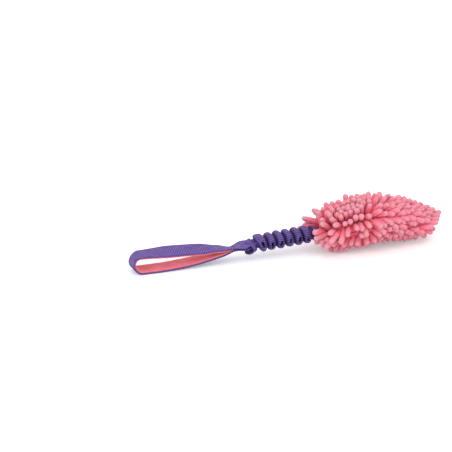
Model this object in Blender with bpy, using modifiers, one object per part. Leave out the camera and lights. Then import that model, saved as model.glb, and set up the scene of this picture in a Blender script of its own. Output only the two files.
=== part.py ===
"""Bungee tug toy: a webbing hand loop, a gathered webbing sleeve over an elastic cord, and a chenille mop.

It lies on a surface at z = 0 with +X from the hand loop to the mop head and the strap's width along Y.
"""

import bpy
import bmesh
import numpy as np
from math import cos, pi, radians, sin
from mathutils import Matrix, Vector

# Sizes that hold for the whole toy, in metres
CLEARANCE = 0.0003          # gap between pieces that touch on the real toy
CUT_OVERRUN = 0.001         # how far a cutter runs past what it cuts
THREAD = 0.0010             # thickness of a bar tack's bundle of thread

# Hand loop: flattened tubular webbing, turned into a loop and sewn to itself at the neck
STRAP_WIDTH = 0.025
STRAP_THICKNESS = 0.0022
STRAP_EDGE = 0.0007         # rounding of the webbing's rolled edges
ACROSS_STEPS = 5            # strips side by side, so that the neck can twist
EDGE_ANGLE = 60.0           # degrees; only sharper edges than this are rounded
LOOP_LENGTH = 0.126         # from the outside of the bend to where the two runs meet
LOOP_HEIGHT = 0.0235        # over the outside at the bend
FLAT_END = 0.024            # the lower run lies on the surface up to here
MEETING_HEIGHT = 0.0150     # middle of the two layers where the runs meet
NECK_LENGTH = 0.017         # from there to the sleeve's mouth
UPPER_SAG_POWER = 2.4       # how late the upper run drops to the neck
LOWER_RISE_POWER = 2.0
BEND_STEPS = 12
RUN_STEPS = 12
NECK_STEPS = 8

# Degrees that the strap leans sideways, at shares of the loop's length
UPPER_LEAN_SHARES = ((0.10, 0.0), (0.38, 10.0), (0.68, 8.0), (0.86, -5.0), (1.0, -16.0))
LOWER_LEAN_SHARES = ((0.10, 0.0), (0.52, 0.0), (0.86, -6.0), (1.0, -16.0))
BEND_LEAN = -8.0

# Fleece lining on the inner face of the loop
LINING_WIDTH = 0.0240
LINING_THICKNESS = 0.0016
LINING_EDGE = 0.0005
LINING_END_SHARE = 0.905

# Strap tails inside the sleeve
TAIL_WIDTH = 0.016
TAIL_TAPER = 0.012
TAIL_TAPER_LEAD = 0.007     # how far before the mouth the strap starts to narrow
TAIL_OVER_TACK = 0.004      # how far the tails run past the bar tack

# Gathered sleeve: tubular webbing pushed up into folds over the elastic
SLEEVE_WALL = 0.0012
FOLD_COUNT = 6
FOLD_PITCH = 0.01165
HOOD_LENGTH = 0.0138        # open mouth, before the first groove
GROOVE_WIDTH = 0.0024       # the two grooves that the end tacks lie in
TAIL_CONE = 0.0114          # last gather, which tapers to the mop
SLEEVE_START_HEIGHT = 0.0176
SLEEVE_END_HEIGHT = 0.0240
CREST_HALF_HEIGHT = 0.0102
CREST_HALF_WIDTH = 0.0143
VALLEY_HALF_HEIGHT = 0.0068
VALLEY_HALF_WIDTH = 0.0122
MOUTH_HALF_HEIGHT = 0.0086
MOUTH_HALF_WIDTH = 0.0134
MOUTH_DROP = 0.0030         # the mouth hangs below the elastic's line
MOUTH_SCOOP = 0.0080        # its sides are cut back by this much, which leaves an upper and a lower lip
CONE_END_HALF_HEIGHT = 0.0032
CONE_END_HALF_WIDTH = 0.0118
DENT_DEPTH = 0.0030         # the flat tube's side crease, pushed in at each fold
FOLD_ROUNDNESS = 2.8
SECTION_ROUNDNESS = 2.3
SLEEVE_SIDES = 16
CREST_SHARE = 0.5           # where along a fold its crest is
FOLD_SHARES = (0.0, 0.08, 0.27, CREST_SHARE, 0.73, 0.92)
HOOD_RISE_SHARES = ((0.28, 0.66), (0.62, 0.64), (0.86, 0.46), (1.0, 0.0))
CONE_RISE_SHARES = ((0.16, 0.62), (0.42, 0.55))

# Elastic cord inside the sleeve, flattened and sewn at both ends
ELASTIC_RADIUS = 0.0040
ELASTIC_FLAT_WIDTH = 0.0110
ELASTIC_FLAT_THICKNESS = 0.0024
ELASTIC_FLAT_LENGTH = 0.0100
ELASTIC_SWELL = 0.0060      # length over which it turns from flat to round
ELASTIC_SIDES = 16
ELASTIC_ROUNDNESS = 2.0     # 2 is an ellipse

# Webbing tab that joins the sleeve's end to the mop
TAB_WIDTH = 0.0170
TAB_THICKNESS = 0.0022
TAB_BEFORE_TACK = 0.0040
TAB_INTO_MOP = 0.0100
MOP_GAP = 0.0010            # between the sleeve's end and the mop's lip

# Mop head: two fabric panels sewn round the rim over a foam filling
MOP_LENGTH = 0.136
MOP_WIDTH = 0.056
MOP_HEIGHT = 0.0240         # height of the seam between the panels at the lip and at the rear
MOP_ARCH = 0.0090           # how much higher the seam is between them
ARCH_START_SHARE = 0.15     # the arch starts here, as a share of half the length
UPPER_DOME = 0.0105
UNDER_DOME = 0.0125
PANEL_WALL = 0.0015
LIP_SHARE = 0.10            # flat lip at the front, as a share of half the length
RAMP_SHARE = 0.40
CORNER_SHARE = 0.55         # how far the plan's corners are rounded off
REAR_POWER = 4              # how late the panels' height falls to the rear rim
ROWS = 8
COLUMNS = 19
CROWDING_SHARES = (0.04, 0.25)  # how far the grid's lines crowd to the ends and to the sides
FILLING_ROWS = 8
FILLING_COLUMNS = 14
FILLING_SETBACK = 0.004
FILLING_EDGE = 0.0006       # thickness of the foam's thin rim
FILLING_SLACK = 0.0011      # how much lower than the hollow it stands
FILLING_INSET = 0.0025      # how far that rim stays inside the panels' rim

# Chenille strands
STRAND_WIDTH = 0.0050
UPPER_STRAND_LENGTH = 0.0190
UNDER_STRAND_LENGTH = 0.0205  # these reach what the toy lies on
STRAND_TIP_SHARE = 0.80
STRAND_LENGTH_SPREAD_SHARE = 0.07
STRAND_LEAN_SPREAD = 0.07
FLOOR_CUT = 0.0005          # the lowest strands are cut flat by this much
UPPER_COMB_LEAN_SHARES = ((-1.0, -0.85), (-0.55, -0.12), (0.0, 0.32), (0.6, 0.80), (1.0, 1.40))
UNDER_COMB_LEAN_SHARES = ((-1.0, -0.85), (-0.55, -0.12), (0.0, 0.12), (0.6, 0.28), (1.0, 0.90))
PARTING_SHARE = 1.2         # how far the forward lean is undone beside the tab; above 1 it is rearward
PARTING_REACH_SHARE = 2.2   # how far to each side that holds, in half widths of the tab
FAN_SHARE = 1.15            # sideways lean at the panel's side
SIDE_START_SHARE = 0.09     # from here to the side the strands lie down
SIDE_END_SHARE = 1.0
SIDE_DROP_SHARE = 0.88
END_START_SHARE = 0.75      # and from here to the front and rear ends
END_DROP_SHARE = 0.45
UPPER_SEED = 11
UNDER_SEED = 23

# Bar tacks: half the distance between a tack's two legs
NECK_TACK_REACH = 0.0095
MOUTH_TACK_REACH = 0.0063
TAIL_TACK_REACH = 0.0067
NECK_TACK_SETBACK = 0.004   # from where the runs meet

# Places along the toy, counted from the outside of the loop's bend
MOUTH_X = LOOP_LENGTH + NECK_LENGTH
FRONT_GROOVE_X = MOUTH_X + HOOD_LENGTH + GROOVE_WIDTH / 2
FOLDS_X = FRONT_GROOVE_X + GROOVE_WIDTH / 2
REAR_GROOVE_X = FOLDS_X + FOLD_COUNT * FOLD_PITCH + GROOVE_WIDTH / 2
SLEEVE_END_X = REAR_GROOVE_X + GROOVE_WIDTH / 2 + TAIL_CONE
MOP_START_X = SLEEVE_END_X + MOP_GAP
MOP_MIDDLE_X = MOP_START_X + MOP_LENGTH / 2
TAIL_END_X = FRONT_GROOVE_X + TAIL_OVER_TACK
BEND_RADIUS = (LOOP_HEIGHT - STRAP_THICKNESS) / 2
BEND_X = LOOP_HEIGHT / 2
LAYER_OFFSET = (STRAP_THICKNESS + CLEARANCE) / 2
SPLIT_OFFSET = ELASTIC_FLAT_THICKNESS / 2 + CLEARANCE + STRAP_THICKNESS / 2
TAB_GAP = TAB_THICKNESS / 2 + CLEARANCE * 2
MOP_TACK_REACH = TAB_WIDTH / 2 + THREAD / 2 + CLEARANCE * 1.5  # its legs pass beside the tab
COLORS = {
    "webbing": (0.150, 0.075, 0.380),
    "fleece": (0.760, 0.130, 0.190),
    "thread": (0.120, 0.060, 0.330),
    "elastic": (0.620, 0.620, 0.600),
    "foam": (0.780, 0.760, 0.700),
    "chenille": (0.860, 0.200, 0.290),
}
ROUGHNESS = 0.85


def clear_scene():
    for old in list(bpy.data.objects):
        bpy.data.objects.remove(old, do_unlink=True)


def new_collection(name):
    collection = bpy.data.collections.new(name)
    bpy.context.scene.collection.children.link(collection)
    return collection


def material(name):
    found = bpy.data.materials.get(name)
    if found:
        return found
    made = bpy.data.materials.new(name)
    made.use_nodes = True
    shader = made.node_tree.nodes["Principled BSDF"]
    shader.inputs["Base Color"].default_value = (*COLORS[name], 1.0)
    shader.inputs["Roughness"].default_value = ROUGHNESS
    shader.inputs["Metallic"].default_value = 0.0
    return made


def add_object(name, bm, finish, closed=True):
    """Put a bmesh into a new object of the toy's collection; a closed one has its faces turned outwards."""
    if closed:
        bmesh.ops.recalc_face_normals(bm, faces=bm.faces)
    mesh = bpy.data.meshes.new(name)
    bm.to_mesh(mesh)
    bm.free()
    obj = bpy.data.objects.new(name, mesh)
    PARTS.objects.link(obj)
    mesh.materials.append(material(finish))
    return obj


def smooth(share):
    """0 to 1 with a level start and end."""
    s = min(max(share, 0.0), 1.0)
    return s * s * (3.0 - 2.0 * s)


def eased(value, table):
    """The table's second numbers, joined by smooth steps over its first."""
    for (x0, y0), (x1, y1) in zip(table, table[1:]):
        if value <= x1:
            return y0 + (y1 - y0) * smooth((value - x0) / (x1 - x0))
    return table[-1][1]


def sleeve_axis(x):
    """Height of the sleeve's middle line at x."""
    slope = (SLEEVE_END_HEIGHT - SLEEVE_START_HEIGHT) / (SLEEVE_END_X - MOUTH_X)
    return SLEEVE_START_HEIGHT + slope * (x - MOUTH_X)


def neck_height(x):
    """Height of the middle of the doubled strap from the meeting point into the sleeve."""
    if x >= MOUTH_X:
        return sleeve_axis(x)
    share = (x - LOOP_LENGTH) / NECK_LENGTH
    return MEETING_HEIGHT + (SLEEVE_START_HEIGHT - MEETING_HEIGHT) * share


def layer_offset(x):
    """Half the distance between the two layers, which part to take the elastic's end."""
    apart = FRONT_GROOVE_X - ELASTIC_FLAT_LENGTH / 2
    share = (x - MOUTH_X) / (apart - CLEARANCE * 2 - MOUTH_X)
    return LAYER_OFFSET + (SPLIT_OFFSET - LAYER_OFFSET) * smooth(share)


def neck_lean(x):
    return radians(UPPER_LEAN_SHARES[-1][1]) * (1.0 - smooth((x - LOOP_LENGTH) / NECK_LENGTH))


def strap_path():
    """Stations of the strap as (x, z, lean, width), from the upper tail's end round to the lower one's."""
    tail = [TAIL_END_X + (MOUTH_X - TAIL_END_X) * k / NECK_STEPS for k in range(NECK_STEPS)]
    neck = [MOUTH_X + (LOOP_LENGTH - MOUTH_X) * k / NECK_STEPS for k in range(NECK_STEPS)]
    upper, lower = [], []
    for x in tail + neck:
        narrowed = smooth((x - MOUTH_X + TAIL_TAPER_LEAD) / TAIL_TAPER)
        width = STRAP_WIDTH - (STRAP_WIDTH - TAIL_WIDTH) * narrowed
        lean = neck_lean(x)
        apart = layer_offset(x) / cos(lean)
        upper.append((x, neck_height(x) + apart, lean, width))
        lower.append((x, neck_height(x) - apart, lean, width))
    bend_top = LOOP_HEIGHT - STRAP_THICKNESS / 2
    apart = LAYER_OFFSET / cos(neck_lean(LOOP_LENGTH))
    upper_end = MEETING_HEIGHT + apart
    lower_end = MEETING_HEIGHT - apart
    floor = STRAP_THICKNESS / 2
    for k in range(RUN_STEPS):
        share = 1.0 - k / RUN_STEPS
        x = BEND_X + (LOOP_LENGTH - BEND_X) * share
        z = bend_top + (upper_end - bend_top) * share ** UPPER_SAG_POWER
        upper.append((x, z, radians(eased(x / LOOP_LENGTH, UPPER_LEAN_SHARES)), STRAP_WIDTH))
    for k in range(RUN_STEPS):
        share = 1.0 - k / RUN_STEPS
        x = FLAT_END + (LOOP_LENGTH - FLAT_END) * share
        z = floor + (lower_end - floor) * share ** LOWER_RISE_POWER
        lower.append((x, z, radians(eased(x / LOOP_LENGTH, LOWER_LEAN_SHARES)), STRAP_WIDTH))
    lower.append((FLAT_END, floor, 0.0, STRAP_WIDTH))
    bend = []
    for k in range(BEND_STEPS + 1):
        turn = pi / 2 + pi * k / BEND_STEPS
        lean = radians(BEND_LEAN) * smooth(abs(cos(turn)))
        place = (BEND_X + BEND_RADIUS * cos(turn), LOOP_HEIGHT / 2 + BEND_RADIUS * sin(turn))
        bend.append((*place, lean, STRAP_WIDTH))
    return upper + bend + lower[::-1]


def framed(path):
    """Each station's point, width direction and inward normal."""
    points = [Vector((x, 0.0, z)) for x, z, _, _ in path]
    frames = []
    for k, (_, _, lean, _) in enumerate(path):
        ahead, behind = points[min(k + 1, len(points) - 1)], points[max(k - 1, 0)]
        tangent = (ahead - behind).normalized()
        across = Vector((0.0, cos(lean), sin(lean)))
        normal = tangent.cross(across).normalized()
        frames.append((points[k], across, normal))
    return frames


def ribbon(name, path, offset, width_loss, thickness, edge, finish):
    """Strips side by side along the path, moved inwards by offset, with rounded edges."""
    rows = []
    for (point, across, normal), (_, _, _, width) in zip(framed(path), path):
        middle = point + normal * offset
        half = across * ((width - width_loss) / 2)
        rows.append([middle + half * (2.0 * k / ACROSS_STEPS - 1.0) for k in range(ACROSS_STEPS + 1)])
    bm = bmesh.new()
    grid_faces(bm, rows)
    strip = add_object(name, bm, finish, closed=False)
    wall = strip.modifiers.new("thickness", "SOLIDIFY")
    wall.thickness = thickness
    wall.offset = 0.0
    wall.use_even_offset = True
    rounding = strip.modifiers.new("rolled edge", "BEVEL")
    rounding.width = edge
    rounding.segments = 1
    rounding.limit_method = "ANGLE"
    rounding.angle_limit = radians(EDGE_ANGLE)
    return strip


def handle_strap():
    return ribbon("handle_strap", strap_path(), 0.0, 0.0, STRAP_THICKNESS, STRAP_EDGE, "webbing")


def handle_lining():
    """Fleece strip on the inner face, which stops short of where the runs meet."""
    end = LOOP_LENGTH * LINING_END_SHARE
    path = [station for station in strap_path() if station[0] <= end]
    inwards = (STRAP_THICKNESS + LINING_THICKNESS) / 2 + CLEARANCE
    loss = STRAP_WIDTH - LINING_WIDTH
    return ribbon("handle_lining", path, inwards, loss, LINING_THICKNESS, LINING_EDGE, "fleece")


def ring_section(x, height, half_width, half_height, sides, roundness):
    """Points of one rounded section square to X."""
    points = []
    for k in range(sides):
        turn = 2.0 * pi * k / sides
        c, s = cos(turn), sin(turn)
        y = half_width * abs(c) ** (2.0 / roundness) * (1.0 if c >= 0.0 else -1.0)
        z = half_height * abs(s) ** (2.0 / roundness) * (1.0 if s >= 0.0 else -1.0)
        points.append(Vector((x, y, height + z)))
    return points


def tube_surface(bm, rings, capped):
    """Quads between neighbouring rings, with filled ends if capped."""
    loops = [[bm.verts.new(p) for p in ring] for ring in rings]
    count = len(loops[0])
    for a, b in zip(loops, loops[1:]):
        for k in range(count):
            n = (k + 1) % count
            bm.faces.new((a[k], a[n], b[n], b[k]))
    if capped:
        bm.faces.new(loops[0])
        bm.faces.new(loops[-1])
    return loops


def sleeve_rings():
    """Sections of the sleeve's outer face: hood, front groove, folds, rear groove and cone."""
    rings = []

    def add(x, rise, drop, dent):
        """rise 0 is a groove and 1 is a crest; the dent pushes in the side creases."""
        half_width = VALLEY_HALF_WIDTH + (CREST_HALF_WIDTH - VALLEY_HALF_WIDTH) * rise
        half_height = VALLEY_HALF_HEIGHT + (CREST_HALF_HEIGHT - VALLEY_HALF_HEIGHT) * rise
        height = sleeve_axis(x) - drop
        ring = ring_section(x, height, half_width, half_height, SLEEVE_SIDES, SECTION_ROUNDNESS)
        ring[0].y -= dent
        ring[SLEEVE_SIDES // 2].y += dent
        rings.append(ring)

    mouth = (MOUTH_X, sleeve_axis(MOUTH_X) - MOUTH_DROP, MOUTH_HALF_WIDTH, MOUTH_HALF_HEIGHT)
    rings.append(ring_section(*mouth, SLEEVE_SIDES, SECTION_ROUNDNESS))
    for share, rise in HOOD_RISE_SHARES:
        add(MOUTH_X + HOOD_LENGTH * share, rise, MOUTH_DROP * (1.0 - share) ** 2, 0.0)
    for ring, (share, _) in zip(rings, ((0.0, 0.0), *HOOD_RISE_SHARES)):
        for point in ring:
            point.x += MOUTH_SCOOP * (1.0 - share) * (point.y / MOUTH_HALF_WIDTH) ** 2
    for fold in range(FOLD_COUNT):
        start = FOLDS_X + fold * FOLD_PITCH
        for share in FOLD_SHARES:
            rise = (1.0 - abs(2.0 * share - 1.0) ** FOLD_ROUNDNESS) ** (1.0 / FOLD_ROUNDNESS)
            add(start + share * FOLD_PITCH, rise, 0.0, DENT_DEPTH if share == CREST_SHARE else 0.0)
    add(REAR_GROOVE_X - GROOVE_WIDTH / 2, 0.0, 0.0, 0.0)
    add(REAR_GROOVE_X + GROOVE_WIDTH / 2, 0.0, 0.0, 0.0)
    cone_x = REAR_GROOVE_X + GROOVE_WIDTH / 2
    for share, rise in CONE_RISE_SHARES:
        add(cone_x + TAIL_CONE * share, rise, 0.0, 0.0)
    end = (SLEEVE_END_X, sleeve_axis(SLEEVE_END_X), CONE_END_HALF_WIDTH, CONE_END_HALF_HEIGHT)
    rings.append(ring_section(*end, SLEEVE_SIDES, SECTION_ROUNDNESS))
    return rings


def bungee_sleeve():
    bm = bmesh.new()
    tube_surface(bm, sleeve_rings(), False)
    sleeve = add_object("bungee_sleeve", bm, "webbing", closed=False)
    wall = sleeve.modifiers.new("wall", "SOLIDIFY")
    wall.thickness = SLEEVE_WALL
    wall.offset = -1.0
    return sleeve


def elastic_core():
    """Round cord between two flat sewn ends; the rear end lies above the tab."""
    start = FRONT_GROOVE_X - ELASTIC_FLAT_LENGTH / 2
    end = REAR_GROOVE_X + ELASTIC_FLAT_LENGTH / 2
    lift = (ELASTIC_FLAT_THICKNESS + CLEARANCE) / 2
    flat = (ELASTIC_FLAT_WIDTH / 2, ELASTIC_FLAT_THICKNESS / 2)
    round_size = (ELASTIC_RADIUS, ELASTIC_RADIUS)
    front_round = FRONT_GROOVE_X + TAIL_OVER_TACK + ELASTIC_SWELL
    rear_round = REAR_GROOVE_X - ELASTIC_FLAT_LENGTH / 2 - ELASTIC_SWELL
    stations = [
        (start, 0.0, flat),
        (FRONT_GROOVE_X + TAIL_OVER_TACK, 0.0, flat),
        (front_round, 0.0, round_size),
        (rear_round, 0.0, round_size),
        (REAR_GROOVE_X - ELASTIC_FLAT_LENGTH / 2, lift, flat),
        (end, lift, flat),
    ]
    bm = bmesh.new()
    rings = [
        ring_section(x, sleeve_axis(x) + up, *half, ELASTIC_SIDES, ELASTIC_ROUNDNESS)
        for x, up, half in stations
    ]
    tube_surface(bm, rings, True)
    return add_object("elastic_core", bm, "elastic")


def box(name, center, size, collection, turn=None):
    """A primitive cube brought to size in its mesh, then placed and turned."""
    bm = bmesh.new()
    bmesh.ops.create_cube(bm, size=1.0, matrix=Matrix.Diagonal((*size, 1.0)))
    mesh = bpy.data.meshes.new(name)
    bm.to_mesh(mesh)
    bm.free()
    obj = bpy.data.objects.new(name, mesh)
    collection.objects.link(obj)
    obj.location = center
    if turn:
        obj.rotation_euler = turn
    return obj


def cutter(name, center, size, turn=None):
    tool = box(name, center, size, CUTTERS, turn)
    tool.hide_render = True
    tool.display_type = "WIRE"
    return tool


def cut(obj, tool):
    step = obj.modifiers.new("cut " + tool.name, "BOOLEAN")
    step.operation = "DIFFERENCE"
    step.object = tool
    step.solver = "EXACT"


def bar_tack(name, center, lean, reach, half_inside, pierced):
    """A tack as a ring of thread: a bar above, a bar below, and two legs through the pieces it holds."""
    turn = (lean, 0.0, 0.0)
    width = 2.0 * reach + THREAD
    height = 2.0 * (half_inside + THREAD)
    tack = box(name, center, (THREAD, width, height), PARTS, turn)
    tack.data.materials.append(material("thread"))
    inside = (THREAD + CUT_OVERRUN, width - 2.0 * THREAD, 2.0 * half_inside)
    cut(tack, cutter(name + "_inside", center, inside, turn))
    hole = THREAD + 2.0 * CLEARANCE
    for side in (-1.0, 1.0):
        across = Vector((0.0, cos(lean), sin(lean))) * (side * reach)
        size = (hole, hole, height + CUT_OVERRUN)
        tool = cutter(f"{name}_leg_{side:+.0f}", Vector(center) + across, size, turn)
        for piece in pierced:
            cut(piece, tool)
    return tack


def tail_tab():
    """Webbing tab from under the elastic's rear end into the mop's lip."""
    start = REAR_GROOVE_X - TAB_BEFORE_TACK
    end = MOP_START_X + TAB_INTO_MOP
    drop = (TAB_THICKNESS + CLEARANCE) / 2
    level = REAR_GROOVE_X + ELASTIC_FLAT_LENGTH / 2
    path = [
        (start, sleeve_axis(start) - drop, 0.0, TAB_WIDTH),
        (level, sleeve_axis(level) - drop, 0.0, TAB_WIDTH),
        (SLEEVE_END_X, MOP_HEIGHT, 0.0, TAB_WIDTH),
        (MOP_START_X, MOP_HEIGHT, 0.0, TAB_WIDTH),
        (end, MOP_HEIGHT, 0.0, TAB_WIDTH),
    ]
    return ribbon("tail_tab", path, 0.0, 0.0, TAB_THICKNESS, STRAP_EDGE, "webbing")


def spaced(count, crowding):
    """Numbers from -1 to 1 that crowd towards both ends."""
    t = np.linspace(-1.0, 1.0, count + 1)
    return t * (1.0 + crowding - crowding * t * t)


def front_rise(along):
    """Share of the full height near the front: a flat lip, then a ramp."""
    share = np.clip((along + 1.0 - LIP_SHARE) / RAMP_SHARE, 0.0, 1.0)
    return share * share * (3.0 - 2.0 * share)


def tab_room(x, y):
    """Half the gap between the panels: open round the tab, nearly shut elsewhere."""
    beside = np.clip((TAB_WIDTH - np.abs(y)) / (TAB_WIDTH / 2), 0.0, 1.0)
    past = MOP_START_X + TAB_INTO_MOP * 2.0
    behind = np.clip((past - x) / TAB_INTO_MOP, 0.0, 1.0)
    return CLEARANCE / 2 + (TAB_GAP - CLEARANCE / 2) * beside * behind


def seam_height(x):
    """The seam is level round the tab, then arches up and comes down again at the rear."""
    along = (x - MOP_MIDDLE_X) / (MOP_LENGTH / 2)
    share = np.clip((along + 1.0 - ARCH_START_SHARE) / (2.0 - ARCH_START_SHARE), 0.0, 1.0)
    return MOP_HEIGHT + MOP_ARCH * np.sin(pi * share)


def pillow(columns, rows, inset, dome, side, start, rim):
    """Grid over a rounded rectangle, side 1 above or -1 below, whose height over the seam falls to rim."""
    u, v = np.meshgrid(spaced(columns, CROWDING_SHARES[0]), spaced(rows, CROWDING_SHARES[1]), indexing="ij")
    half_length = (MOP_START_X + MOP_LENGTH - start) / 2 - inset
    middle = (MOP_START_X + MOP_LENGTH + start) / 2
    x = middle + half_length * u * np.sqrt(1.0 - CORNER_SHARE * v * v / 2.0)
    y = (MOP_WIDTH / 2 - inset) * v * np.sqrt(1.0 - CORNER_SHARE * u * u / 2.0)
    along = (x - start - inset) / (MOP_LENGTH / 2) - 1.0
    back = np.sqrt(np.clip(1.0 - np.clip(u, 0.0, 1.0) ** REAR_POWER, 0.0, 1.0))
    crown = np.sqrt(np.clip(1.0 - v * v, 0.0, 1.0))
    height = dome * front_rise(along) * back * crown
    return np.stack([x, y, seam_height(x) + side * (height + rim)], axis=-1)


def parted(grid, side):
    """The grid moved off the seam by half the gap between the panels."""
    grid[..., 2] += side * tab_room(grid[..., 0], grid[..., 1])
    return grid


def grid_faces(bm, grid):
    verts = [[bm.verts.new(p) for p in row] for row in grid]
    faces = []
    for a, b in zip(verts, verts[1:]):
        for k in range(len(a) - 1):
            faces.append(bm.faces.new((a[k], b[k], b[k + 1], a[k + 1])))
    return verts, faces


def rim_of(verts):
    """The grid's border vertices in order round it."""
    top, bottom = verts[0], verts[-1]
    right = [row[-1] for row in verts[1:-1]]
    left = [row[0] for row in verts[1:-1]]
    return top + right + bottom[::-1] + left[::-1]


def strand_direction(place, side):
    """Strands fan out from the panel, lie over towards the rear, and part round the sleeve's end."""
    along = (place.x - MOP_MIDDLE_X) / (MOP_LENGTH / 2)
    across = place.y / (MOP_WIDTH / 2)
    comb = eased(along, UPPER_COMB_LEAN_SHARES if side > 0.0 else UNDER_COMB_LEAN_SHARES)
    if along < 0.0:
        comb *= 1.0 - PARTING_SHARE * smooth(PARTING_REACH_SHARE - abs(place.y) / (TAB_WIDTH / 2))
    beside = smooth((abs(across) - SIDE_START_SHARE) / (SIDE_END_SHARE - SIDE_START_SHARE))
    beyond = smooth((abs(along) - END_START_SHARE) / (1.0 - END_START_SHARE))
    rise = side * (1.0 - SIDE_DROP_SHARE * beside) * (1.0 - END_DROP_SHARE * beyond)
    return Vector((comb, FAN_SHARE * across, rise)).normalized()


def chenille_panel(name, side, dome, seed):
    """Fabric panel with a chenille strand on each cell of its grid."""
    rng = np.random.default_rng(seed)
    bm = bmesh.new()
    face = pillow(COLUMNS, ROWS, 0.0, dome, side, MOP_START_X, PANEL_WALL)
    hollow = pillow(COLUMNS, ROWS, PANEL_WALL, dome - PANEL_WALL, side, MOP_START_X, 0.0)
    outer, cells = grid_faces(bm, parted(face, side))
    inner, _ = grid_faces(bm, parted(hollow, side))
    a, b = rim_of(outer), rim_of(inner)
    for k in range(len(a)):
        n = (k + 1) % len(a)
        bm.faces.new((a[k], a[n], b[n], b[k]))
    bmesh.ops.recalc_face_normals(bm, faces=bm.faces)
    for cell in cells:
        margin = (cell.calc_area() ** 0.5 - STRAND_WIDTH) / 2
        bmesh.ops.inset_individual(bm, faces=[cell], thickness=margin, use_even_offset=True)
    tips = bmesh.ops.extrude_discrete_faces(bm, faces=cells)["faces"]
    for tip in tips:
        base = tip.calc_center_median()
        heading = strand_direction(base, side)
        spread = rng.uniform(-1.0, 1.0, 4)
        heading += Vector(spread[:3]) * STRAND_LEAN_SPREAD
        heading.normalize()
        length = UPPER_STRAND_LENGTH if side > 0.0 else UNDER_STRAND_LENGTH
        length *= 1.0 + STRAND_LENGTH_SPREAD_SHARE * spread[3]
        if heading.z < 0.0:
            length = min(length, (base.z + FLOOR_CUT) / -heading.z)
        for vert in tip.verts:
            vert.co = base + heading * length + (vert.co - base) * STRAND_TIP_SHARE
            vert.co.z = max(vert.co.z, 0.0)
    return add_object(name, bm, "chenille")


def mop_filling():
    """Foam pad inside the panels, clear of the tab."""
    start = MOP_START_X + TAB_INTO_MOP + FILLING_SETBACK
    inset = PANEL_WALL + FILLING_INSET
    rim = FILLING_EDGE / 2
    bm = bmesh.new()
    sheets = []
    for side, dome in ((1.0, UPPER_DOME), (-1.0, UNDER_DOME)):
        height = dome - PANEL_WALL - FILLING_SLACK
        pad = pillow(FILLING_COLUMNS, FILLING_ROWS, inset, height, side, start, rim)
        sheets.append(grid_faces(bm, pad)[0])
    a, b = rim_of(sheets[0]), rim_of(sheets[1])
    for k in range(len(a)):
        n = (k + 1) % len(a)
        bm.faces.new((a[k], a[n], b[n], b[k]))
    return add_object("mop_filling", bm, "foam")


def joint_axis(name, x, z):
    """Empty on a joint's axis."""
    empty = bpy.data.objects.new(name, None)
    PARTS.objects.link(empty)
    empty.location = (x, 0.0, z)
    return empty


def bounds():
    """Lowest and highest corner over the toy's finished meshes."""
    graph = bpy.context.evaluated_depsgraph_get()
    corners = []
    for obj in PARTS.objects:
        if obj.type == "MESH":
            done = obj.evaluated_get(graph)
            corners += [done.matrix_world @ v.co for v in done.data.vertices]
    points = np.array(corners)
    return points.min(axis=0), points.max(axis=0)


def build():
    strap = handle_strap()
    lining = handle_lining()
    sleeve = bungee_sleeve()
    core = elastic_core()
    tab = tail_tab()
    upper = chenille_panel("mop_upper", 1.0, UPPER_DOME, UPPER_SEED)
    under = chenille_panel("mop_under", -1.0, UNDER_DOME, UNDER_SEED)
    filling = mop_filling()

    neck_x = LOOP_LENGTH + NECK_TACK_SETBACK
    neck_inside = LAYER_OFFSET + STRAP_THICKNESS / 2 + CLEARANCE
    neck = (neck_x, 0.0, neck_height(neck_x))
    neck_tack = bar_tack("neck_bartack", neck, neck_lean(neck_x), NECK_TACK_REACH, neck_inside, [strap])

    groove_inside = VALLEY_HALF_HEIGHT + CLEARANCE
    mouth = (FRONT_GROOVE_X, 0.0, sleeve_axis(FRONT_GROOVE_X))
    mouth_tack = bar_tack("mouth_bartack", mouth, 0.0, MOUTH_TACK_REACH, groove_inside, [strap, sleeve])
    tail = (REAR_GROOVE_X, 0.0, sleeve_axis(REAR_GROOVE_X))
    tail_tack = bar_tack("tail_bartack", tail, 0.0, TAIL_TACK_REACH, groove_inside, [sleeve, tab])

    line = spaced(COLUMNS, CROWDING_SHARES[0])[1]
    bow = CORNER_SHARE * (MOP_TACK_REACH / MOP_WIDTH) ** 2 / 2.0
    lip = (MOP_MIDDLE_X + MOP_LENGTH / 2 * line * (1.0 - bow), 0.0, MOP_HEIGHT)
    lip_inside = TAB_GAP + PANEL_WALL + CLEARANCE
    mop_tack = bar_tack("mop_bartack", lip, 0.0, MOP_TACK_REACH, lip_inside, [upper, under])

    root = joint_axis("toy", 0.0, 0.0)
    hinge_x = LOOP_LENGTH + NECK_LENGTH / 2
    neck_hinge = joint_axis("neck_flex_axis", hinge_x, neck_height(hinge_x))
    stretch = joint_axis("bungee_stretch_axis", MOUTH_X, sleeve_axis(MOUTH_X))
    mop_hinge = joint_axis("mop_flex_axis", (SLEEVE_END_X + MOP_START_X) / 2, MOP_HEIGHT)
    held = {
        root: [strap, lining, neck_tack, neck_hinge, *CUTTERS.objects],
        neck_hinge: [sleeve, core, mouth_tack, stretch],
        stretch: [tab, tail_tack, mop_hinge],
        mop_hinge: [filling, upper, under, mop_tack],
    }
    bpy.context.view_layer.update()
    for parent, children in held.items():
        for child in children:
            child.parent = parent
            child.matrix_parent_inverse = parent.matrix_world.inverted()
    bpy.context.view_layer.update()
    low, high = bounds()
    root.location.x = -(low[0] + high[0]) / 2
    bpy.context.view_layer.update()
    for empty in (neck_hinge, stretch, mop_hinge):
        print(empty.name, [round(value, 5) for value in empty.matrix_world.translation])
    print("length, width and height", [round(float(value), 4) for value in high - low])


clear_scene()
PARTS = new_collection("bungee tug toy")
CUTTERS = new_collection("cutters")
build()
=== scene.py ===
from math import cos, pi, radians, sin

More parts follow.
